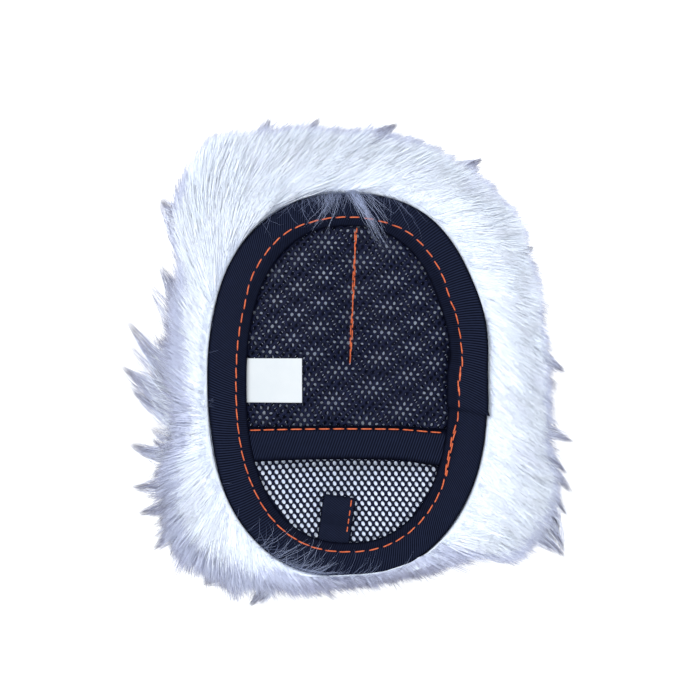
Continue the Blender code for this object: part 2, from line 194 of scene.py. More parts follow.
def by_heading(values, angle):
    """The value for a heading, from values at equal steps round a circle, with smooth steps between."""
    values = np.asarray(values, float)
    at = np.mod(angle, TAU) / TAU * len(values)
    low = np.floor(at).astype(int) % len(values)
    return values[low] + (values[(low + 1) % len(values)] - values[low]) * smoothstep(at - np.floor(at))


# ---- mesh building


def put(name, data):
    """A new object in the scene."""
    added = bpy.data.objects.new(name, data)
    bpy.context.scene.collection.objects.link(added)
    return added


def new_mesh(name, points, *face_groups, slots=None):
    """An object from points (n, 3) and one or more arrays of faces, each of one corner count."""
    mesh = bpy.data.meshes.new(name)
    mesh.vertices.add(len(points))
    mesh.vertices.foreach_set("co", np.asarray(points, np.float32).ravel())
    groups = [np.asarray(group, np.int32) for group in face_groups if len(group)]
    corners = np.concatenate([group.ravel() for group in groups])
    sizes = np.concatenate([np.full(len(group), group.shape[1]) for group in groups])
    starts = np.concatenate([[0], np.cumsum(sizes)[:-1]])
    mesh.loops.add(len(corners))
    mesh.loops.foreach_set("vertex_index", corners)
    mesh.polygons.add(len(sizes))
    mesh.polygons.foreach_set("loop_start", starts.astype(np.int32))
    if slots is not None:
        mesh.polygons.foreach_set("material_index", np.asarray(slots, np.int32))
    mesh.update(calc_edges=True)
    mesh.shade_smooth()
    return put(name, mesh)


def rows_of_quads(rows, columns, closed):
    """Quads over a grid of rows x columns points; closed joins each row's last point to its first."""
    last = columns if closed else columns - 1
    i, j = np.meshgrid(np.arange(rows - 1), np.arange(last), indexing="ij")
    after = (j + 1) % columns
    quads = [i * columns + j, i * columns + after, (i + 1) * columns + after, (i + 1) * columns + j]
    return np.stack(quads, axis=-1).reshape(-1, 4)


def sweep(sections, first_cap=True, start=0):
    """(points, quads, triangles) of a body through sections, an array of (stations, points round, 3).

    A fan closes its last end and, with first_cap, its first. start is the number of its first point.
    """
    stations, around, _ = sections.shape
    ends = sections[[0, -1] if first_cap else [-1]].mean(axis=1)
    points = np.concatenate([sections.reshape(-1, 3), ends])
    ring = np.arange(around)
    after, base = (ring + 1) % around, (stations - 1) * around
    caps = np.stack([base + ring, base + after, np.full(around, len(points) - 1)], axis=1)
    if first_cap:
        caps = np.concatenate([np.stack([after, ring, np.full(around, len(points) - 2)], axis=1), caps])
    return points, rows_of_quads(stations, around, closed=True) + start, caps + start


def band(name, sections):
    return facing_out(new_mesh(name, *sweep(sections)))


def facing_out(piece):
    """Turns the faces of a closed body so that they point out."""
    mesh = piece.data
    mesh.calc_loop_triangles()
    points = np.empty(len(mesh.vertices) * 3, np.float32)
    mesh.vertices.foreach_get("co", points)
    corners = np.empty(len(mesh.loop_triangles) * 3, np.int32)
    mesh.loop_triangles.foreach_get("vertices", corners)
    a, b, c = points.reshape(-1, 3)[corners.reshape(-1, 3)].astype(float).transpose(1, 0, 2)
    if np.einsum("ij,ij->", a, np.cross(b, c)) < 0:
        mesh.flip_normals()
    return piece


def apply_modifiers(piece):
    graph = bpy.context.evaluated_depsgraph_get()
    mesh = bpy.data.meshes.new_from_object(piece.evaluated_get(graph))
    old = piece.data
    piece.modifiers.clear()
    piece.data = mesh
    bpy.data.meshes.remove(old)
    return piece


def thicken(piece, thickness, offset=0):
    solidify = piece.modifiers.new("thickness", "SOLIDIFY")
    solidify.thickness, solidify.offset = thickness, offset
    return solidify


def finish_piece(piece, body, slot, materials, *nodes):
    for material in materials:
        piece.data.materials.append(material)
    if body:
        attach(piece, body)
    if nodes:
        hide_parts(*nodes)
    return piece


# ---- materials


def new_material(name, colour, roughness, **inputs):
    material = bpy.data.materials.new(name)
    material.use_nodes = True
    shader = material.node_tree.nodes["Principled BSDF"]
    shader.inputs["Base Color"].default_value = (*colour, 1)
    shader.inputs["Roughness"].default_value = roughness
    for key, value in inputs.items():
        shader.inputs[key.replace("_", " ")].default_value = value
    return material


def to_shader(material, output, socket):
    material.node_tree.links.new(output, material.node_tree.nodes["Principled BSDF"].inputs[socket])


def add_node(material, kind, **inputs):
    node = material.node_tree.nodes.new(kind)
    for key, value in inputs.items():
        node.inputs[key.replace("_", " ")].default_value = value
    return node


def noise_over(material, scale, stretch=(1, 1, 1), **inputs):
    """A noise over the object's own coordinates."""
    links = material.node_tree.links
    place = add_node(material, "ShaderNodeTexCoord")
    mapping = add_node(material, "ShaderNodeMapping", Scale=stretch)
    noise = add_node(material, "ShaderNodeTexNoise", Scale=scale, **inputs)
    links.new(place.outputs["Object"], mapping.inputs["Vector"])
    links.new(mapping.outputs["Vector"], noise.inputs["Vector"])
    return noise


def mottled(material, colours, scale, detail=4):
    """Links the colour to a noise, from the first of colours to the last. Gives the colour's node."""
    noise = noise_over(material, scale, Detail=detail, Roughness=0.6)
    ramp = add_node(material, "ShaderNodeValToRGB")
    first, last = ramp.color_ramp.elements
    first.position, first.color = 0.3, (*colours[0], 1)
    last.position, last.color = 0.7, (*colours[-1], 1)
    for between in colours[1:-1]:
        ramp.color_ramp.elements.new(0.5).color = (*between, 1)
    material.node_tree.links.new(noise.outputs["Fac"], ramp.inputs["Fac"])
    to_shader(material, ramp.outputs["Color"], "Base Color")
    return ramp


def rough_surface(material, scale, distance, stretch=(1, 1, 1), strength=0.6):
    """A fine bump over the object."""
    noise = noise_over(material, scale, stretch, Detail=3)
    bump = add_node(material, "ShaderNodeBump", Strength=strength, Distance=distance)
    material.node_tree.links.new(noise.outputs["Fac"], bump.inputs["Height"])
    to_shader(material, bump.outputs["Normal"], "Normal")


def make_cloth(name, colour, roughness, mottle, bump, **inputs):
    """A cloth: mottle is what mottled takes, and bump what rough_surface takes."""
    material = new_material(name, colour, roughness, **inputs)
    mottled(material, *mottle)
    rough_surface(material, *bump)
    return material


def make_tape_material():
    """Twill painted lighter on its ribs than in the grooves between them, a painted highlight on the crests and
    painted shade in the grooves, with some lint.
    """
    material = new_material("twill_tape", (0.004, 0.006, 0.016), 0.8, Specular_IOR_Level=0.02)
    ramp = mottled(material, [(0.0003, 0.0004, 0.0022), (0.0006, 0.0009, 0.0040), (0.0016, 0.0024, 0.008)], 420)
    links = material.node_tree.links
    rib = add_node(material, "ShaderNodeAttribute")
    rib.attribute_name = "rib"
    # The rib value mixes in a lighter colour on the crests, a painted highlight, and leaves the grooves dark as
    # painted shade.
    raised = add_node(material, "ShaderNodeMix")
    raised.data_type = "RGBA"
    raised.inputs["B"].default_value = (0.0130, 0.0178, 0.039, 1)
    links.new(rib.outputs["Fac"], raised.inputs["Factor"])
    links.new(ramp.outputs["Color"], raised.inputs["A"])
    to_shader(material, raised.outputs["Result"], "Base Color")
    rough_surface(material, 3200, 0.08 * MM)
    return material


# ---- wool


def wool_reach(angle):
    return by_heading(WOOL_REACH, angle) * MM


def from_centre(points):
    """(heading, distance) of points from the panel's centre, seen from above."""
    x, y = points[..., 0] - PANEL_CENTRE[0], points[..., 1] - PANEL_CENTRE[1]
    return np.arctan2(y, x), np.hypot(x, y)


UNDERCOAT_TURNS = 128
PLUMP_FRAMES, PLUMP_LIMIT = 16, 3 * MM
# The undercoat's section: share of the way from the binding's outer edge to its own outline, height.
UNDERCOAT_UNDER = [(0.3, 0.9), (0.62, 0.9), (0.78, 1.4), (0.88, 3.4), (0.95, 7), (0.99, 12)]
UNDERCOAT_OVER = [
    (1, 18), (0.985, 24), (0.94, 29), (0.86, 33), (0.74, 35.8), (0.6, 37.4),
    (0.45, 38.2), (0.3, 38.3), (0.17, 38), (0.07, 37.4), (0.012, 36.6),
]  # fmt: skip


def undercoat_ring(share, height):
    angle = TAU * np.arange(UNDERCOAT_TURNS) / UNDERCOAT_TURNS
    near = rim_reach(angle, 1) + 0.1 * MM
    return round_panel(angle, near + (wool_reach(angle) - FRINGE - near) * share, height)


def round_hide(grow, height, turns=UNDERCOAT_TURNS):
    """A ring round the hide at a height, that much larger than the middle of its fold."""
    angle = TAU * np.arange(turns) / turns
    reach = superellipse(angle, HIDE_HALF_WIDTH + grow, HIDE_HALF_LENGTH + grow, HIDE_POWER)
    x = HIDE_CENTRE[0] + reach * np.cos(angle)
    y = HIDE_CENTRE[1] + reach * np.sin(angle)
    return np.stack([x, y, np.full_like(x, height)], axis=-1)


def undercoat_rings():
    """Rings from the middle of the underside, out, over the top and in along the hide."""
    rings = [undercoat_ring(share, height * MM) for share, height in UNDERCOAT_UNDER + UNDERCOAT_OVER]
    clear = HIDE_THICKNESS / 2 + 0.4 * MM
    rings.append(undercoat_ring(0, HIDE_LIP_Z + clear))
    radius = HIDE_FOLD + clear
    for turn in np.radians((90, 30, -30, -90)):
        rings.append(round_hide(radius * math.cos(turn) - HIDE_FOLD, HIDE_MIDDLE + radius * math.sin(turn)))
    return np.stack(rings)


def lumps(points, size, seed):
    """A smooth value from -1 to 1 over space, with lumps of about that size."""
    draw = np.random.default_rng(seed)
    total = np.zeros(points.shape[:-1])
    for _ in range(7):
        direction = draw.normal(size=3)
        direction *= draw.uniform(0.7, 1.5) / np.linalg.norm(direction)
        total += np.sin(points @ direction * TAU / size + draw.uniform(0, TAU))
    return total / 3.2


def build_undercoat():
    """The dense wool next to the skin: a soft lumpy body, blown up a little as cloth so that it is plump."""
    rings = undercoat_rings()
    loose = len(UNDERCOAT_UNDER + UNDERCOAT_OVER)
    out = rings[:loose] - PANEL_CENTRE
    out[..., 2] = 0
    amount = lumps(rings[:loose], 34 * MM, 3) * 1.5 * MM + lumps(rings[:loose], 13 * MM, 4) * 0.5 * MM
    amount *= np.array([0, 0.2, 0.5, 0.8, 1, 1] + [1] * 8 + [0.6, 0.3, 0])[:, None]
    rings[:loose] += unit(out) * amount[..., None]
    rings[3:loose, :, 2] += 0.5 * amount[3:loose]
    coat = band("wool_undercoat", rings)
    plump(coat, loose)
    return coat, rows_of_quads(loose, UNDERCOAT_TURNS, closed=True)


def corners_of(piece):
    return np.array([vertex.co for vertex in piece.data.vertices])


def plump(coat, loose):
    """Swells the free part of the undercoat with Blender's cloth, held where it meets the hide and floor."""
    weights = coat.vertex_groups.new(name="held")
    held = [*range(3 * UNDERCOAT_TURNS), *range((loose - 2) * UNDERCOAT_TURNS, len(coat.data.vertices))]
    weights.add(held, 1.0, "REPLACE")
    before = corners_of(coat)
    cloth = coat.modifiers.new("cloth", "CLOTH")
    cloth.settings.quality = 5
    cloth.settings.mass = 0.3
    cloth.settings.tension_stiffness = cloth.settings.compression_stiffness = 12
    cloth.settings.bending_stiffness = 0.6
    cloth.settings.use_pressure = True
    cloth.settings.uniform_pressure_force = 3
    cloth.settings.vertex_group_mass = "held"
    cloth.settings.effector_weights.gravity = 0
    scene = bpy.context.scene
    for number in range(1, PLUMP_FRAMES + 1):
        scene.frame_set(number)
    apply_modifiers(coat)
    coat.vertex_groups.clear()
    scene.frame_set(1)
    moved = corners_of(coat) - before
    far = np.maximum(np.linalg.norm(moved, axis=1, keepdims=True), 1e-9)
    moved *= np.minimum(1, PLUMP_LIMIT / far)
    coat.data.vertices.foreach_set("co", (before + moved).astype(np.float32).ravel())
    coat.data.update()


def strand_mesh(name, paths, radius, slots):
    """Closed three-sided tapered hairs. paths is (hairs, stations, 3), slots (hairs, stations)."""
    hairs, stations, _ = paths.shape
    run = unit(np.gradient(paths, axis=1))
    side = unit(np.cross(run, np.array((0.13, 0.21, 0.97))))
    up = np.cross(side, run)
    taper = np.interp(np.linspace(0, 1, stations), [0, 0.25, 0.7, 1], [0.8, 1, 0.75, 0.1])
    size = (radius[:, None] * taper[None, :])[..., None]
    rings = [paths + size * (math.cos(a) * up + math.sin(a) * side) for a in (0, TAU / 3, 2 * TAU / 3)]
    body = np.stack(rings, axis=2)[:, :-1].reshape(hairs, -1, 3)
    points = np.concatenate([body, paths[:, -1:]], axis=1)
    each = points.shape[1]
    quads = rows_of_quads(stations - 1, 3, closed=True)
    top = (stations - 2) * 3
    ends = np.array([[2, 1, 0]] + [[top + k, top + (k + 1) % 3, each - 1] for k in range(3)])
    start = (np.arange(hairs) * each)[:, None, None]
    quad_slots = np.repeat(slots[:, : stations - 2], 3, axis=1).ravel()
    end_slots = slots[:, [0, stations - 2, stations - 2, stations - 2]].ravel()
    return new_mesh(
        name,
        points.reshape(-1, 3),
        (quads[None] + start).reshape(-1, 4),
        (ends[None] + start).reshape(-1, 3),
        slots=np.concatenate([quad_slots, end_slots]),
    )


def face_points(coat, quads, chosen, u, v):
    """(points, normals) on chosen quads of the undercoat at u, v from 0 to 1."""
    a, b, c, d = corners_of(coat)[quads[chosen]].transpose(1, 0, 2)
    u, v = u[:, None], v[:, None]
    place = (a * (1 - u) + b * u) * (1 - v) + (d * (1 - u) + c * u) * v
    normal = unit(np.cross(b + c - a - d, d + c - a - b))
    return place, normal * np.sign(normal[place[:, 2] > 35 * MM, 2].sum())


def combed(places):
    """The horizontal direction in which the wool is combed at each place, as an angle."""
    x, y = places[:, 0] - PANEL_CENTRE[0], places[:, 1] - PANEL_CENTRE[1]
    out = np.arctan2(np.sign(y) * (np.abs(y) / 0.115) ** 1.5, np.sign(x) * (np.abs(x) / 0.095) ** 1.5)
    swirl = np.radians(by_heading(WOOL_SWIRL, np.arctan2(y, x)))
    return out + swirl * smoothstep((rim_share(x, y) - 0.35) / 1.0)


def grow(places, normals, heading, length, lift):
    """Paths of hairs from places: they rise off the skin, bend over along heading, and droop past the edge."""
    flat = np.stack([np.cos(heading), np.sin(heading), np.zeros_like(heading)], axis=1)
    aside = smoothstep((0.75 - normals[:, 2]) / 0.5)
    start = flat * (0.75 - 0.25 * aside[:, None]) + normals * lift[:, None]
    start[:, 2] -= 0.3 * aside
    start = unit(start)
    droop = -0.06 - 0.55 * aside
    end = unit(flat + np.array((0, 0, 1)) * droop[:, None])
    t = np.linspace(0, 1, HAIR_STATIONS)[None, :, None]
    bend = start[:, None] * t + (end - start)[:, None] * t**2 / 2
    return places[:, None] + length[:, None, None] * bend


def hold_in(paths, slack):
    """Shortens hairs whose tips pass the wool's outline by more than slack, and keeps all above the floor."""
    angle, reach = from_centre(paths[:, -1])
    _, start = from_centre(paths[:, 0])
    limit = wool_reach(angle) + slack
    keep = np.clip((limit - start) / np.maximum(reach - start, 1e-6), 0.25, 1)
    keep = np.where(reach > limit, keep, 1)
    paths = paths[:, :1] + (paths - paths[:, :1]) * keep[:, None, None]
    paths[..., 2] = np.maximum(paths[..., 2], FLOOR_CLEAR)
    return paths


def wool_slots(paths, tint):
    """The material of each stretch of each hair: its root's, then white, then painted shade at the fringe, from
    pale lilac to grey.

    tint, from -1 to 1, moves where a hair's painted shade begins, in or out.
    """
    angle, reach = from_centre(paths)
    wide = by_heading(WOOL_SHADE, angle) * MM
    past = (reach - wool_reach(angle)) / wide + 1 + 0.3 * tint[:, None]
    slots = 1 + sum(past > step for step in WOOL_STEPS)
    slots[:, 0] = np.where(slots[:, 0] > 1, slots[:, 0], 0)
    return slots


def build_locks(coat, quads, materials):
    """The fleece: hairs drawn together into locks, combed out from the binding."""
    corners = undercoat_rings().reshape(-1, 3)[quads]
    area = np.linalg.norm(np.cross(corners[:, 2] - corners[:, 0], corners[:, 3] - corners[:, 1]), axis=1)
    height = corners[..., 2].mean(axis=1)
    weight = area * np.interp(height, [0, 2 * MM, 6 * MM, 20 * MM, 30 * MM], [0, 0.15, 0.6, 1, 1.25])
    beside = rim_share(*(corners.mean(axis=1)[:, :2] - PANEL_CENTRE[:2]).T) - 1
    weight *= np.interp(beside, [0, 0.15, 0.5], [2.6, 2.2, 1])
    # The first places are the locks' own, and the rest the hairs'.
    total, lock, hair = LOCKS + STRANDS, slice(LOCKS), slice(LOCKS, None)
    chosen = rng.choice(len(quads), total, p=weight / weight.sum())
    places, normals = face_points(coat, quads, chosen, rng.random(total), rng.random(total))
    heading = combed(places)
    angle, _ = from_centre(places)
    length = by_heading(WOOL_LENGTH, angle) * MM
    length *= np.interp(places[:, 2], [0, 10 * MM, 30 * MM], [0.45, 0.85, 1])
    # Each lock has its own lean, length and slack; its hairs start from these.
    lock_lean = rng.normal(0, 0.12, LOCKS)
    lock_long = rng.uniform(0.75, 1.1, LOCKS)
    lock_lift = rng.uniform(0.17, 0.28, LOCKS)
    ragged = by_heading(WOOL_RAGGED, angle[lock])
    lock_slack = (rng.normal(0, 1.3, LOCKS) + np.maximum(rng.normal(-0.7, 1, LOCKS), 0) * 4) * ragged * MM
    guides = grow(places[lock], normals[lock], heading[lock] + lock_lean, length[lock] * lock_long, lock_lift)
    guides = hold_in(guides, lock_slack)
    tree = KDTree(LOCKS)
    for index, place in enumerate(places[lock]):
        tree.insert(place, index)
    tree.balance()
    own = np.array([tree.find(place)[1] for place in places[hair]])
    hairs = grow(
        places[hair],
        normals[hair],
        heading[hair] + lock_lean[own] + rng.normal(0, 0.11, STRANDS),
        length[hair] * lock_long[own] * rng.uniform(0.7, 1.05, STRANDS),
        lock_lift[own] + rng.normal(0, 0.05, STRANDS),
    )
    stray = (rng.random(STRANDS) < 0.1) * rng.exponential(2.2, STRANDS)
    hairs = hold_in(hairs, lock_slack[own] + (rng.normal(0, 1.2, STRANDS) + stray) * MM)
    t = np.linspace(0, 1, HAIR_STATIONS)[None, :, None]
    draw = rng.uniform(0.1, 0.42, LOCKS)[own][:, None, None] * t**1.6
    hairs = hairs * (1 - draw) + guides[own] * draw
    hairs += rng.normal(0, 0.22 * MM, hairs.shape) * t
    hairs[..., 2] = np.maximum(hairs[..., 2], FLOOR_CLEAR)
    slots = wool_slots(hairs, rng.uniform(-1, 1, LOCKS)[own] * 0.7 + rng.uniform(-0.5, 0.5, STRANDS))
    radius = rng.uniform(0.13, 0.2, STRANDS) * MM
    # Whole locks go to one piece, so that each piece's own white shows as a soft streak.
    pieces = len(materials)
    share = rng.permutation(np.arange(LOCKS) % pieces)[own]
    for number in range(pieces):
        mine = share == number
        piece = strand_mesh(f"wool_locks_{number + 1:02d}", hairs[mine], radius[mine], slots[mine])
        finish_piece(piece, "mitt", "wool", materials[number])


# Tufts that stand out at the fringe: place of the root from the panel's centre and the way the tip lies
# from it, in mm, then how wide the root is.
TUFTS = [
    ((-84, 30), (-20, 37), 10), ((-86, -4), (-37, 41), 11), ((-88, -10), (-38, 21), 9),
    ((-86, -22), (-34, 20), 9), ((-88, -36), (-33, 4), 9), ((-88, -48), (-32, -9), 9),
    ((-84, -60), (-33, -12), 9), ((-82, -74), (-26, -18), 9), ((-88, 92), (-15, 10), 10),
    ((-54, 122), (12, 25), 6), ((-28, 124), (14, 23), 6), ((12, 128), (17, 15), 6),
    ((60, 112), (15, 12), 6), ((98, -24), (27, -8), 4),
    ((98, -32), (23, -18), 4), ((98, -38), (26, -23), 4), ((100, -48), (21, -25), 4),
    ((102, -66), (17, -27), 6), ((100, -78), (20, -18), 6), ((102, 18), (18, -12), 4),
    ((86, 66), (17, 9), 6), ((-66, -92), (-14, -18), 7), ((-46, -104), (-8, -18), 7),
]  # fmt: skip


def build_tufts(materials):
    """Long pointed tufts, each of several locks whose hairs start over a patch and come together at a tip."""
    paths, slots, radii = [], [], []
    each, locks = 300, 6
    t = np.linspace(0, 1, HAIR_STATIONS)[None, :, None]
    for (x, y), (dx, dy), spread in TUFTS:
        root = PANEL_CENTRE + np.array((x, y, 32.0)) * MM
        tip = root + np.array((dx, dy, -7.0)) * MM
        side = np.array((-dy, dx, 0.0)) / math.hypot(dx, dy)
        # The first lock goes to the tuft's own tip, the others to shorter ones beside it.
        short = np.concatenate([[0], rng.uniform(0.12, 0.5, locks - 1)])
        aside = np.concatenate([[0], rng.normal(0, 0.42, locks - 1)]) * spread * MM
        own = np.where(rng.random(each) < 0.35, 0, rng.integers(1, locks, each))
        across = rng.normal(0, 0.5, each) * spread * MM + 0.5 * aside[own]
        start = root + side * across[:, None] + (tip - root) * rng.uniform(-0.8, 0.25, each)[:, None]
        inside = rim_share(*(start - PANEL_CENTRE)[:, :2].T) < 1.15
        start[inside] = root + side * across[inside, None]
        start[:, 2] += rng.uniform(-8, 3, each) * MM
        back = short[own] + np.abs(rng.normal(0, 0.12, each))
        end = tip - (tip - root) * back[:, None] + side * (aside[own] + 0.12 * across)[:, None]
        end += rng.normal(0, 0.6 * MM, (each, 3))
        bow = (rng.normal(1.5, 1.6) + rng.normal(0, 0.9, locks)[own] + rng.normal(0, 0.4, each)) * MM
        path = start[:, None] * (1 - t) + end[:, None] * t
        path = path + (bow[:, None] * side + np.array((0, 0, 3.0)) * MM)[:, None] * 4 * t * (1 - t)
        path[..., 2] = np.maximum(path[..., 2], FLOOR_CLEAR)
        paths.append(path)
        # Each hair steps from white to painted shade towards its tip: pale lilac, grey and dark.
        kind = np.tile([1, 1, 2, 3, 4, 4], (each, 1))
        kind[rng.random(each) < 0.3] = (1, 2, 3, 4, 5, 5)
        kind[rng.random(each) < 0.35] = (1, 1, 1, 2, 3, 4)
        slots.append(kind)
        radii.append(rng.uniform(0.1, 0.16, each) * MM)
    piece = strand_mesh("wool_tufts", *map(np.concatenate, (paths, radii, slots)))
    finish_piece(piece, "mitt", "wool", materials)


def height_over(x, y):
    """The top of whatever lies at a place on the panel: the binding or the pocket cloth."""
    share = rim_share(x, y)
    tape = TAPE_Z + tape_height(np.clip(share, 0, 1))
    return np.where(share > -0.02, tape, pocket_top(x, y) + 0.3 * MM)


# Wisps over the binding: heading of the roots and their spread, the way they lie and its spread, how far
# they turn and its spread, all in degrees, then length in mm, number and 1 for dim ones.
WISPS = [
    (89, 0.9, -54, 1.6, -8, 2, 41, 50, 0), (87, 1.6, -48, 8, -16, 10, 30, 12, 0),
    (93.5, 1, -108, 6, -14, 10, 28, 18, 0), (96, 3, -70, 16, -30, 30, 18, 16, 0),
    (100, 7, -110, 40, -10, 50, 20, 60, 1), (106, 5, -165, 14, 14, 12, 30, 9, 1),
    (92, 8, -90, 30, 20, 60, 16, 40, 1), (80, 4, -38, 8, -18, 14, 34, 8, 1),
    (72, 6, -50, 25, 10, 50, 16, 12, 1), (254, 6, 14, 14, 16, 34, 26, 52, 0),
    (249, 6, 30, 24, 10, 60, 20, 60, 1), (264, 6, 8, 16, 22, 40, 22, 40, 1),
    (280, 7, 14, 14, 16, 30, 14, 18, 1), (200, 30, 70, 60, 0, 60, 8, 20, 1),
    (160, 20, 60, 60, 0, 60, 8, 12, 1),
]  # fmt: skip


def build_wisps(materials):
    """Stray hairs that lie in from the wool over the binding and, at the top, over the mesh."""
    paths, radii, slots = [], [], []
    for at, at_spread, way, way_spread, bend, bend_spread, length, count, dim in WISPS:
        angle = np.radians(at + rng.normal(0, at_spread, count))
        root = rim_point(angle, 1.02 + rng.uniform(0, 0.12, count), 0)[:, :2] - PANEL_CENTRE[:2]
        heading = np.radians(way + rng.normal(0, way_spread, count))
        turn = np.radians(bend + rng.normal(0, bend_spread, count))
        reach = length * MM * rng.uniform(0.35, 1, count)
        t = np.linspace(0, 1, 9)
        lean = heading[:, None] + turn[:, None] * t + rng.normal(0, 0.12, (count, 9))
        step = reach[:, None] / 8
        x = root[:, :1] + np.cumsum(np.cos(lean) * step, axis=1) - np.cos(lean[:, :1]) * step
        y = root[:, 1:] + np.cumsum(np.sin(lean) * step, axis=1) - np.sin(lean[:, :1]) * step
        z = height_over(x, y) + 0.25 * MM + rng.uniform(0.1, 1.6, count)[:, None] * MM * np.sin(t * math.pi)
        z[:, 0] = 37 * MM
        paths.append(on_panel(x, y, z))
        radii.append(rng.uniform(0.045, 0.08, count) * MM)
        slots.append(np.full((count, 9), dim))
    piece = strand_mesh("wool_wisps", *map(np.concatenate, (paths, radii, slots)))
    finish_piece(piece, "mitt", "wool", materials)


# ---- cloth


HIDE_TURNS = 96


def build_hide():
    """The white skin under the panel: its floor, seen through the mesh, its fold and its lip."""
    angle = TAU * np.arange(HIDE_TURNS) / HIDE_TURNS
    rings = [rim_point(angle, HIDE_LIP_SHARE, HIDE_LIP_Z), rim_point(angle, 1, HIDE_LIP_Z)]
    for turn in np.radians(np.linspace(90, -90, 9)):
        height = HIDE_MIDDLE + HIDE_FOLD * math.sin(turn)
        rings.append(round_hide(HIDE_FOLD * (math.cos(turn) - 1), height, HIDE_TURNS))
    edge = rings[-1]
    for share in np.arange(0.95, 0.04, -0.05):
        ring = HIDE_CENTRE + (edge - HIDE_CENTRE) * share
        x, y = (ring - PANEL_CENTRE)[:, :2].T
        # Inside the binding the empty mitt's floor lies up against the mesh.
        raised = panel_under(x, y) - HIDE_THICKNESS / 2 - 0.9 * MM - HIDE_FLOOR_Z
        ring[:, 2] = HIDE_FLOOR_Z + raised * smoothstep((0.6 - rim_share(x, y)) / 0.6)
        ring[:, 2] += lumps(ring, 40 * MM, 9) * 0.15 * MM
        rings.append(ring)
    hide = new_mesh("hide", *sweep(np.stack(rings), first_cap=False))
    thicken(hide, HIDE_THICKNESS)
    return facing_out(apply_modifiers(hide))


# How far apart the holes of the mesh are in a row, and the rows.
HOLE_PITCH, HOLE_ROWS = 3.7 * MM, 2.73 * MM


def mesh_cell(hole_half, tilt):
    """(points, triangles, quads) of one cell: a six-sided outline, a ring of yarn and the hole's edge."""
    half, rise = HOLE_PITCH / 2, HOLE_ROWS / 2
    cap, shoulder = 4 / 3 * rise * 1.09, 4 / 3 * rise * 0.41
    hexagon = [(0, cap), (-half, shoulder), (-half, -shoulder), (0, -cap), (half, -shoulder), (half, shoulder)]
    angle = TAU * np.arange(12) / 12 + TAU / 4
    hole = np.stack([hole_half[0] * np.cos(angle), hole_half[1] * np.sin(angle)], axis=1) * MM
    hole[:, 0] += tilt * hole[:, 1]
    corners = np.array(hexagon)
    outline = np.repeat(corners, 2, axis=0)
    outline[1::2] = (corners + np.roll(corners, -1, axis=0)) / 2
    middle = hole + (outline - hole) * 0.45
    k, m = np.arange(6), np.arange(12)
    after, odd = (k + 1) % 6, 6 + (2 * k + 1) % 12
    wedge = np.stack([k, after, odd], axis=1)
    left = np.stack([k, odd, 6 + 2 * k], axis=1)
    right = np.stack([after, 6 + (2 * k + 2) % 12, odd], axis=1)
    quads = np.stack([6 + m, 6 + (m + 1) % 12, 18 + (m + 1) % 12, 18 + m], axis=1)
    return np.concatenate([corners, middle, hole]), np.concatenate([wedge, left, right]), quads


def knitted_sheet(name, turn, edge_share, mouth, height_at, hole_half, thickness, tilt):
    """A sheet of mesh cloth with a real hole in each cell, shaped by height_at over the panel.

    hole_half is half a hole's width and height, in mm. Also gives the yarn's area, without the holes.
    """
    i, j = np.meshgrid(np.arange(-40, 41), np.arange(-60, 61), indexing="ij")
    centres = np.stack([(i + 0.5 * (j % 2)) * HOLE_PITCH, j * HOLE_ROWS], axis=-1).reshape(-1, 2)
    cell, triangles, quads = mesh_cell(hole_half, tilt)
    cosine, sine = math.cos(turn), math.sin(turn)
    x, y = np.moveaxis(centres[:, None] + cell[None], -1, 0)
    points = np.stack([x * cosine - y * sine, x * sine + y * cosine], axis=-1)
    points[..., 0] += 1.1 * MM * np.sin(points[..., 1] / (24 * MM) + turn * 40)
    points[..., 1] += 0.9 * MM * np.sin(points[..., 0] / (19 * MM) + turn * 70)
    x, y = points.mean(axis=1).T
    keep = (rim_share(x, y) < edge_share) & (y > mouth)
    points = points[keep].reshape(-1, 2)
    start = (np.arange(keep.sum()) * len(cell))[:, None, None]
    triangles = (triangles[None] + start).reshape(-1, 3)
    quads = (quads[None] + start).reshape(-1, 4)
    rim = np.tile(np.repeat([0, 1, 2], [6, 12, 12]), keep.sum())
    # Neighbouring cells share their corners.
    whole, back = np.unique(np.round(points / (0.02 * MM)).astype(int), axis=0, return_inverse=True)
    first = np.zeros(len(whole), int)
    first[back.ravel()] = np.arange(len(points))
    points, rim, back = points[first], rim[first], back.ravel()
    x, y = points.T
    sheet = new_mesh(name, on_panel(x, y, height_at(x, y) + thickness / 2), back[triangles], back[quads])
    group = sheet.vertex_groups.new(name="yarn")
    for kind, weight in ((0, 1.0), (1, 0.85), (2, 0.25)):
        group.add(np.flatnonzero(rim == kind).tolist(), weight, "REPLACE")
    solidify = thicken(sheet, thickness)
    solidify.vertex_group, solidify.thickness_vertex_group = "yarn", 0
    apply_modifiers(sheet)
    sheet.vertex_groups.clear()
    yarn_area = HOLE_PITCH * HOLE_ROWS - math.pi * hole_half[0] * hole_half[1] * MM * MM
    return facing_out(sheet), int(keep.sum()) * yarn_area


# ---- tapes


RIB_PITCH, RIB_DEPTH = 1.35 * MM, 0.22 * MM
# The rib value, from 0 to 1, of a tape's faces that have none.
FLAT_RIB = 0.3


def ribs(along, across, slant):
    """The twill's ribs: from 0 between two to 1 on one, by distance along and across the tape."""
    phase = (along + across * slant) / RIB_PITCH
    return (0.5 + 0.5 * np.sin(TAU * phase)) ** 2


def ribbed(name, top, under, twill):
    """A band with twill, the ribs on its top, kept on its points for its colour: painted highlight on the
    crests, painted shade between them. Each is (stations, points).
    """
    piece = band(name, np.concatenate([top, under], axis=1))
    rest = np.full(under.shape[:2], FLAT_RIB)
    values = np.concatenate([np.concatenate([twill, rest], axis=1).ravel(), [FLAT_RIB, FLAT_RIB]])
    attribute = piece.data.attributes.new("rib", "FLOAT", "POINT")
    attribute.data.foreach_set("value", values.astype(np.float32))
    return piece


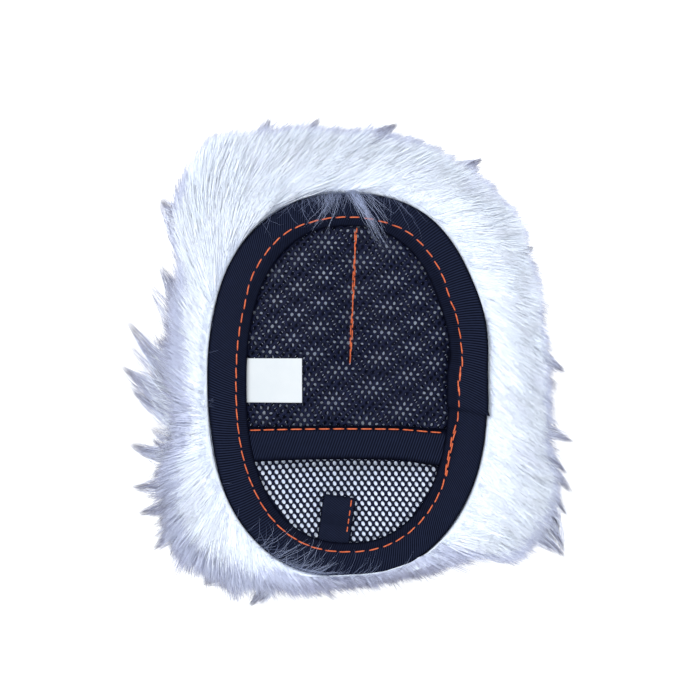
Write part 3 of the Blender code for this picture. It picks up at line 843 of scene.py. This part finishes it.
def tape_height(share):
    """The binding's top above its underside, by share of its width: a groove at the stitch, then a puff."""
    at = [-0.02, 0.0, 0.03, 0.12, 0.22, STITCH_SHARE, 0.33, 0.45, 0.62, 0.8, 0.92, 0.98, 1.0]
    rise = [0.3, 0.7, 1.05, 1.4, 1.25, 1.05, 1.3, 1.75, 2.1, 2.2, 1.85, 1.2, 0.5]
    return np.interp(share, at, rise) * MM


def lap_rise(angle):
    """How far the tape is lifted where it runs over its own start; angle runs down to the lap's end."""
    return LAP_RISE * smoothstep((LAP_UNDER_ANGLE + LAP_RAMP - angle) / (LAP_RAMP * 0.8))


def even_angles(start, end, step, share):
    """Angles from start to end whose points on the binding lie an equal step apart, and their distances."""
    dense = np.linspace(start, end, 4000)
    points = rim_point(dense, share, 0)
    along = np.concatenate([[0], np.cumsum(np.linalg.norm(np.diff(points, axis=0), axis=1))])
    places = np.linspace(0, along[-1], int(along[-1] / step) + 1)
    return np.interp(places, along, dense), places


def build_binding():
    """The wide tape all round the panel, ribbed, with its end lapped over its start and turned down."""
    angle, along = even_angles(LAP_UNDER_ANGLE, LAP_TOP_ANGLE - TAU, 0.34 * MM, 0.6)
    over = np.linspace(0, 1, 31)
    lift = lap_rise(angle + TAU)
    # Towards its end the tape runs wider, and over the lap it is pulled in.
    wide = smoothstep((math.radians(45) - (angle + TAU)) / math.radians(20))
    tight = smoothstep((math.radians(18) - (angle + TAU)) / math.radians(14))
    left = (along[-1] - along) / MM
    press = smoothstep(left / 2.2)
    wobble = 0.35 * MM * np.sin(along / (23 * MM)) + 0.2 * MM * np.sin(along / (9.1 * MM) + 1)
    width = np.linalg.norm(rim_point(angle, 1, 0) - rim_point(angle, 0, 0), axis=1)
    corner = 0.9 * MM * smoothstep((2.5 - left) / 2.5)
    inner = (1.2 * MM * wide - 2.2 * MM * tight) / width
    outer = 1 + (1.6 * MM * wide - 0.8 * MM * tight + wobble + corner) / width
    share = inner[:, None] + (outer - inner)[:, None] * over[None]
    flat = share * width[:, None]
    height = np.broadcast_to(tape_height(over)[None], share.shape).copy()
    height *= (0.62 + 0.38 * press)[:, None]
    # Fading the ribs at both edges and weakening them on the inner band also darkens the colour there: painted
    # shade where the tape turns down and on its inner band.
    fade = smoothstep(over / 0.08) * smoothstep((1 - over) / 0.09)
    fade = fade * (0.55 + 0.45 * smoothstep((over - 0.22) / 0.12))
    twill = ribs(along[:, None], flat, -0.42) * fade
    height += RIB_DEPTH * twill
    height += 0.12 * MM * np.sin(along / (17 * MM))[:, None] * np.sin(over * math.pi)[None]
    drop = (lift * 0.22 * (1 - press))[:, None]
    top = rim_point(angle[:, None], share, TAPE_Z + lift[:, None] - drop + height)
    under_over = np.array((0.97, 0.7, 0.35, 0.03))
    under_share = inner[:, None] + (outer - inner)[:, None] * under_over[None]
    under = rim_point(angle[:, None], under_share, TAPE_Z + (lift - lift * 0.3 * (1 - press))[:, None])
    return ribbed("binding", top, under, twill)


def hem_half_width(y):
    share = 1 - (np.abs(y) / INNER_HALF_LENGTH) ** OVAL_POWER
    return INNER_HALF_WIDTH * share ** (1 / OVAL_POWER)


def hem_drop(u):
    """How far the hem hangs down from a straight line, by place u from -1 at its left end to 1."""
    return 2.0 * MM * u**2 + 2.2 * MM * smoothstep((u - 0.45) / 0.55)


def build_hem():
    """The ribbed tape across the pocket's mouth, folded under at its lower edge."""
    over = MESH_THICKNESS + HEM_GAP - 0.4 * MM
    down = np.linspace(0, 1, 28)
    rows_y = HEM_TOP_Y + (HEM_MOUTH_Y - HEM_TOP_Y) * down
    rise = np.interp(down, [0, 0.03, 0.1, 0.16, 0.5, 0.9, 0.97, 1], [0.5, 0.9, 0.85, 1.05, 1.3, 1.25, 1.0, 0.3])
    fold_y = HEM_MOUTH_Y + np.array((0.2, 1.4, 4, 6)) * MM
    fold_z = np.array((-0.3, -0.9, -0.9, 0.0)) * MM
    u = np.linspace(-1, 1, 340)[:, None]
    y = np.concatenate([rows_y, fold_y])[None] + 0 * u
    y = y - hem_drop(u) * smoothstep((HEM_TOP_Y + 3 * MM - y) / (16 * MM)) * 0.55 - hem_drop(u) * 0.45
    x = u * (hem_half_width(y) + 0.6 * MM)
    height = np.concatenate([rise * MM, fold_z])[None] + 0 * u
    top = len(down)
    twill = ribs(x[:, :top] * 0.93, y[:, :top] * 0.93, -0.36)
    # The ribs fade out at the top edge and over a wider band at the lower edge, where the darker colour is
    # painted shade of the hem's fold.
    twill = twill * smoothstep((down - 0.08) / 0.1) * smoothstep((1 - down) / 0.18)
    height[:, :top] += RIB_DEPTH * twill
    points = on_panel(x, y, pocket_under(x, y) + over + height)
    return ribbed("hem", points[:, :top], points[:, top:], twill)


def strap_frame():
    along = Matrix.Rotation(LOOP_TURN, 4, "Z") @ Vector((0, 1, 0))
    across = Matrix.Rotation(LOOP_TURN, 4, "Z") @ Vector((1, 0, 0))
    return np.array(along), np.array(across), PANEL_CENTRE + LOOP_ROOT


def strap_path():
    """The folded strap's middle line, (along, up), out from its tail, round the tip and back under.

    Also gives each point's distance along it.
    """
    high = LOOP_HALF_HEIGHT - LOOP_STRAP / 2
    tip = LOOP_LENGTH - LOOP_HALF_HEIGHT
    upper = [(-LOOP_TAIL, 0.42 * MM), (0, 0.42 * MM), (LOOP_STUB * 0.7, 0.45 * MM)]
    upper += [(LOOP_STUB + 1.5 * MM, 2.2 * MM), (LOOP_NECK, 3.8 * MM), (tip - 2 * MM, LOOP_TIP_LIFT + high)]
    turn = np.radians(np.linspace(90, -90, 13))
    bend = np.stack([tip + high * np.cos(turn), LOOP_TIP_LIFT + high * np.sin(turn)], axis=1)
    under = LOOP_TIP_LIFT - high + 0.1 * MM
    lower = [(LOOP_NECK, under), (LOOP_STUB, -0.38 * MM), (0, -0.42 * MM), (-LOOP_TAIL, -0.42 * MM)]
    line = np.concatenate([upper, bend, lower])
    along = np.concatenate([[0], np.cumsum(np.linalg.norm(np.diff(line, axis=0), axis=1))])
    places = np.arange(0, along[-1], 0.34 * MM)
    line = np.stack([np.interp(places, along, line[:, k]) for k in (0, 1)], axis=1)
    kernel = np.hanning(9) / np.hanning(9).sum()
    padded = np.pad(line, ((4, 4), (0, 0)), mode="edge")
    return np.stack([np.convolve(padded[:, k], kernel, mode="valid") for k in (0, 1)], axis=1), places


def strap_points(line, across, up):
    """Points off the strap's middle line: across its width and up off its outer face."""
    run = unit(np.gradient(line, axis=0))
    out = np.stack([-run[:, 1], run[:, 0]], axis=1)
    along_axis, across_axis, origin = strap_frame()
    flat = line[:, None] + out[:, None] * up[..., None]
    z = np.zeros(flat.shape[:2])[..., None] + np.array((0, 0, 1.0))
    return origin + flat[..., :1] * along_axis + flat[..., 1:] * z + across[..., None] * across_axis


def build_strap():
    """The hanging loop: ribbed tape folded on itself, with its sewn tail under the binding."""
    line, places = strap_path()
    share = np.linspace(-1, 1, 22)
    across = np.broadcast_to(share * LOOP_WIDTH / 2, (len(line), len(share)))
    round_off = np.sqrt(np.clip(1 - np.abs(share) ** 14, 0, 1)) * LOOP_STRAP / 2
    twill = ribs(places[:, None], across, 0.6) * smoothstep((1 - np.abs(share)) / 0.06)
    top = strap_points(line, across, round_off[None] + 0.6 * RIB_DEPTH * twill - 0.06 * MM)
    low_share = np.array((0.97, 0.4, -0.4, -0.97))
    low_across = np.broadcast_to(low_share * LOOP_WIDTH / 2, (len(line), len(low_share)))
    low = strap_points(line, low_across, np.full(low_across.shape, -LOOP_STRAP / 2))
    return ribbed("strap", top, low, twill)


# ---- stitches


THREAD, TUBE_SIDES = 0.36 * MM, 8
# The points along a stitch.
STITCH_POINTS = 9
RIM_PITCH = 7.6 * MM


def tubes(name, runs, radius):
    """Closed round tubes in one piece, with their ends drawn in. runs is a list of (points, 3) arrays."""
    parts, start = [], 0
    turn = TAU * np.arange(TUBE_SIDES) / TUBE_SIDES
    for run in runs:
        way = unit(np.gradient(run, axis=0))
        side = unit(np.cross(way, (0, 0, 1.0)))
        up = np.cross(side, way)
        t = np.linspace(-1, 1, len(run))
        size = radius * np.sqrt(np.clip(1 - np.abs(t) ** 6, 0.12, 1))
        ring = np.cos(turn)[None, :, None] * side[:, None] + 0.8 * np.sin(turn)[None, :, None] * up[:, None]
        parts.append(sweep(run[:, None] + size[:, None, None] * ring, start=start))
        start += len(parts[-1][0])
    return facing_out(new_mesh(name, *map(np.concatenate, zip(*parts))))


def dashes(length, pitch, gap, start=0.0):
    """(from, to) of each stitch along a line, with small differences between stitches."""
    made = []
    at = start
    while at < length - 1.5 * MM:
        space = gap * rng.uniform(0.75, 1.25)
        made.append((at, min(at + pitch - space, length)))
        at += pitch * rng.uniform(0.97, 1.03)
    return made


def arched(points):
    """A stitch's run with its ends pulled down into the cloth."""
    t = np.linspace(0, 1, len(points))
    dip = 0.5 * MM * (1 - np.clip(np.sin(t * math.pi), 0, 1) ** 0.45)
    points = points.copy()
    points[:, 2] += THREAD * 0.35 - dip
    return points


def rim_stitches(first, last, share, gap_at, sway=0.0, begin=0.0):
    """Stitches round the binding from one angle down to another. gap_at adds to the gap after a stitch."""
    angle, along = even_angles(first, last, 0.5 * MM, share)
    runs = []
    for start, end in dashes(along[-1], RIM_PITCH, 0.9 * MM, begin):
        middle = np.interp((start + end) / 2, along, angle)
        end = max(end - gap_at(middle), start + 1.5 * MM)
        at = np.interp(np.linspace(start, end, STITCH_POINTS), along, angle)
        skew = share + stitch_shift(at) + np.linspace(-sway, sway, STITCH_POINTS)
        lift = lap_rise(at + TAU)
        runs.append(arched(rim_point(at, skew, TAPE_Z + lift + tape_height(skew) + RIB_DEPTH * 0.5)))
    return runs


def stitch_shift(angle):
    """How far the row strays outward, as a share of the binding's width.

    It does so by the lap and in the upper corners, and just below the lap it strays inward.
    """
    heading = (np.degrees(angle) + 180) % 360 - 180
    # Each stretch: its middle, half its length and how it fades, in degrees, then how far the row strays.
    stretches = ((22, 22, 12, 0.09), (-32, 16, 12, -0.1), (58, 22, 14, 0.08), (122, 22, 14, 0.08))
    return sum(far * smoothstep((half - abs(heading - at)) / fade) for at, half, fade, far in stretches)


def binding_gap(angle):
    """What is added to the gap between the binding's stitches, which almost close along the lower left."""
    low_left = smoothstep((50 - abs((math.degrees(angle) + 360) % 360 - 228)) / 15)
    return (0.4 - 0.9 * low_left) * MM


def build_binding_stitches():
    start = LAP_TOP_ANGLE - math.radians(0.8)
    runs = rim_stitches(start, LAP_TOP_ANGLE - TAU + math.radians(0.6), STITCH_SHARE, binding_gap, 0.008)
    return tubes("binding_stitches", runs, THREAD)


def build_lap_stitches():
    """The stitches sewn twice: over the lap, and again just below it."""
    first, last = np.radians((13, -6)) - TAU
    over = rim_stitches(first, last, 0.245, lambda _: -0.6 * MM, 0.012, 3.4 * MM)
    first, last = np.radians((-20, -43))
    below = rim_stitches(first, last, 0.31, lambda _: -0.2 * MM, -0.006, 3.0 * MM)
    return tubes("lap_stitches", over + below, THREAD)


def build_hem_stitches():
    y = HEM_TOP_Y - 1.6 * MM
    width = 2 * hem_half_width(y) - 0.6 * MM
    runs = []
    for start, end in dashes(width, 7.5 * MM, 1.3 * MM, 0.2 * MM):
        x = np.linspace(start, end, STITCH_POINTS) - width / 2
        u = x / (width / 2)
        at = y - hem_drop(u) * 0.6
        height = pocket_under(x, at) + MESH_THICKNESS + HEM_GAP + 0.5 * MM + RIB_DEPTH
        runs.append(arched(on_panel(x, at, height)))
    return tubes("hem_stitches", runs, THREAD)


def build_seam_stitches():
    """The seam between the stalls, sewn there and back, so that two rows almost join."""
    runs = []
    length = float(np.linalg.norm(SEAM_TIP - SEAM_FOOT))
    way = (SEAM_TIP - SEAM_FOOT) / length
    for offset, first in ((-0.45 * MM, 0.0), (0.45 * MM, 2.6 * MM)):
        for start, end in dashes(length, 6.4 * MM, 0.7 * MM, first):
            x, y = (SEAM_FOOT + way * np.linspace(start, end, STITCH_POINTS)[:, None]).T
            x = x + offset * np.cos(y / (9 * MM))
            runs.append(arched(on_panel(x, y, pocket_top(x, y) + 0.35 * MM)))
    return tubes("seam_stitches", runs, THREAD * 0.85)


def build_strap_stitches():
    line, places = strap_path()
    start = int(np.argmax(line[:, 0] > 1.0 * MM))
    end = int(np.argmax(line[:, 0] > LOOP_LENGTH - LOOP_HALF_HEIGHT + 1.5 * MM))
    runs = []
    for first, last in dashes(places[end] - places[start], 5.1 * MM, 1.5 * MM):
        at = np.linspace(first, last, STITCH_POINTS) + places[start]
        part = np.stack([np.interp(at, places, line[:, k]) for k in (0, 1)], axis=1)
        across = np.full((STITCH_POINTS, 1), LOOP_WIDTH / 2 - 2.2 * MM)
        up = np.full((STITCH_POINTS, 1), LOOP_STRAP / 2 + 0.1 * MM)
        runs.append(arched(strap_points(part, across, up)[:, 0]))
    return tubes("strap_stitches", runs, THREAD * 0.9)


# ---- label


def build_label():
    """The blank label, a thin sheet that comes out from under the binding and lies on the mesh."""
    columns, rows = 60, 40
    x = np.linspace(LABEL_TAIL_X, LABEL_TIP_X, columns)[:, None]
    y = np.linspace(LABEL_LOW_Y, LABEL_HIGH_Y, rows)[None]
    x, y = np.broadcast_arrays(x, y)
    edge = POCKET_Z + MESH_THICKNESS + 0.3 * MM
    lift = 0.5 * MM * smoothstep((x + INNER_HALF_WIDTH) / (2 * MM))
    free = smoothstep((x - LABEL_HINGE_X) / (LABEL_TIP_X - LABEL_HINGE_X))
    wave = 0.35 * MM * free * np.sin(y / (7 * MM)) + 0.7 * MM * free**3
    z = np.maximum(edge, pocket_top(x, y) + lift) + wave
    quads = rows_of_quads(columns, rows, closed=False)
    label = new_mesh("label_sheet", on_panel(x, y, z).reshape(-1, 3), quads)
    thicken(label, 0.35 * MM, offset=1)
    return facing_out(apply_modifiers(label))


# ---- assembly


FLOOR_HALF = 3.0


def build_stage():
    """A white floor, an even white sky and two soft lamps."""
    floor_mesh = bpy.data.meshes.new("floor")
    corners = [(x * FLOOR_HALF, y * FLOOR_HALF, 0) for x, y in ((-1, -1), (1, -1), (1, 1), (-1, 1))]
    floor_mesh.from_pydata(corners, [], [(0, 1, 2, 3)])
    floor = put("floor", floor_mesh)
    floor.data.materials.append(new_material("floor_paint", (0.96, 0.96, 0.96), 0.8, Specular_IOR_Level=0.1))
    scene = bpy.context.scene
    scene.view_settings.view_transform = "Standard"
    scene.view_settings.look = "None"
    world = bpy.data.worlds.new("studio")
    scene.world = world
    world.use_nodes = True
    sky = world.node_tree.nodes["Background"]
    sky.inputs["Color"].default_value = (0.96, 0.98, 1, 1)
    sky.inputs["Strength"].default_value = 1.15
    lamps = (("key", (-0.5, 0.6, 1.1), 0.9, 15.0), ("fill", (0.7, -0.5, 1.2), 1.1, 10.0))
    for name, place, size, power in lamps:
        light = bpy.data.lights.new(name, "AREA")
        light.size, light.energy = size, power
        lamp = put(name, light)
        lamp.location = place
        lamp.rotation_euler = (-Vector(place)).to_track_quat("-Z", "Y").to_euler()


def build_camera():
    """Straight down over the mitt, from far enough to show 378 mm across at the binding's height."""
    lens = bpy.data.cameras.new("camera")
    lens.lens, lens.sensor_width = 85, 36
    lens.clip_start, lens.clip_end = 0.01, 20
    camera = put("camera", lens)
    seen, height = 378 * MM, 38 * MM
    camera.location = (-0.65 * MM, 5.6 * MM, height + seen / 2 / (lens.sensor_width / 2 / lens.lens))
    bpy.context.scene.camera = camera


tape = make_tape_material()
yarn = make_cloth(
    "mesh_yarn", (0.003, 0.0045, 0.012), 0.5,
    ([(0.0008, 0.0015, 0.006), (0.0046, 0.0072, 0.026)], 700), (2600, 0.08 * MM),
    Specular_IOR_Level=0.06,
)  # fmt: skip
thread = make_cloth(
    "orange_thread", (0.45, 0.09, 0.03), 0.5,
    ([(0.28, 0.04, 0.010), (0.45, 0.085, 0.027), (0.56, 0.15, 0.06)], 900), (2400, 0.1 * MM, (1, 1, 0.4)),
    Specular_IOR_Level=0.25,
)  # fmt: skip
suede = make_cloth(
    "suede_hide", (0.74, 0.84, 0.99), 0.9,
    ([(0.68, 0.78, 0.99), (0.77, 0.85, 0.99)], 90), (1400, 0.25 * MM),
    Sheen_Weight=0.1,
)  # fmt: skip
satin = make_cloth(
    "satin_label", (0.42, 0.45, 0.475), 0.5,
    ([(0.405, 0.435, 0.46), (0.44, 0.465, 0.485)], 60), (2500, 0.05 * MM, (0.25, 1, 1)),
    Specular_IOR_Level=0.1,
)  # fmt: skip
# The undercoat is darker than the hairs' white: painted shade of the fleece's depths, under the hairs.
down = make_cloth(
    "wool_undercoat", (0.57, 0.63, 0.72), 0.95,
    ([(0.52, 0.58, 0.68), (0.57, 0.63, 0.72), (0.61, 0.66, 0.74)], 45, 6), (900, 0.9 * MM, (1, 1, 1), 0.8),
    Sheen_Weight=0.3,
)  # fmt: skip

# The whites of the fleece, one for each of its pieces, then the colours of a hair's other stretches: its root,
# and the painted shade of the fringe.
WHITES = [
    (0.77, 0.825, 0.92), (0.755, 0.815, 0.915), (0.78, 0.83, 0.92), (0.765, 0.825, 0.91),
    (0.755, 0.80, 0.915), (0.775, 0.83, 0.925), (0.77, 0.82, 0.915), (0.76, 0.825, 0.92),
    (0.765, 0.815, 0.92), (0.77, 0.83, 0.915),
]  # fmt: skip
wool_root = new_material("wool_root", (0.72, 0.78, 0.90), 0.9)
# Painted shade for the fringe and the tufts' tips, from pale lilac to dark.
shades = {
    "pale": (0.57, 0.61, 0.76), "lilac": (0.40, 0.42, 0.56),
    "grey": (0.23, 0.235, 0.32), "dark": (0.12, 0.115, 0.15),
}  # fmt: skip
wool_fringe_shades = [new_material(f"wool_{name}", colour, 0.8) for name, colour in shades.items()]
wool_sets = []
for number, white in enumerate(WHITES):
    body = new_material(f"wool_white_{number + 1}", white, 0.75, Sheen_Weight=0.35)
    wool_sets.append([wool_root, body, *wool_fringe_shades])
wisps = {"wool_wisp": (0.36, 0.42, 0.60), "wool_wisp_dim": (0.13, 0.16, 0.27)}

undercoat, skin = build_undercoat()
finish_piece(undercoat, "mitt", "wool", [down], "wool_pile")
build_locks(undercoat, skin, wool_sets)
build_tufts(wool_sets[0])
build_wisps([new_material(name, colour, 0.7) for name, colour in wisps.items()])

hide = finish_piece(build_hide(), "mitt", "hide", [suede], "wool_hide")
panel, panel_yarn = knitted_sheet(
    "panel_mesh", math.radians(1.5), 0.3, -1, panel_under, (1.0, 1.28), 0.55 * MM, tilt=-0.18
)
finish_piece(panel, "mitt", "mesh", [yarn], "base_mesh")
pocket, pocket_yarn = knitted_sheet(
    "pocket_cloth", math.radians(-10), 0.25, MESH_MOUTH_Y, pocket_under, (0.92, 1.12), 0.7 * MM, tilt=0.12
)
finish_piece(pocket, "mitt", "mesh", [yarn], "pocket_mesh")

binding = finish_piece(build_binding(), "mitt", "tape", [tape], "binding_tape")
hem = finish_piece(build_hem(), "mitt", "tape", [tape], "hem_tape")
binding_stitches, lap_stitches, hem_stitches, seam_stitches, strap_stitches = [
    finish_piece(build(), body, "thread", [thread], node)
    for build, body, node in (
        (build_binding_stitches, "mitt", "binding_stitch"),
        (build_lap_stitches, "mitt", "lap_stitch"),
        (build_hem_stitches, "mitt", "hem_stitch"),
        (build_seam_stitches, "mitt", "stall_seam_stitch"),
        (build_strap_stitches, "loop", "loop_stitch"),
    )
]

strap = finish_piece(build_strap(), None, "tape", [tape], "hanging_loop", "loop_tail")
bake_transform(strap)

label = finish_piece(build_label(), None, "label", [satin], "label", "label_tail")
label_hinge = on_panel(LABEL_HINGE_X, (LABEL_LOW_Y + LABEL_HIGH_Y) / 2, POCKET_Z + MESH_THICKNESS)
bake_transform(label)

build_stage()
build_camera()
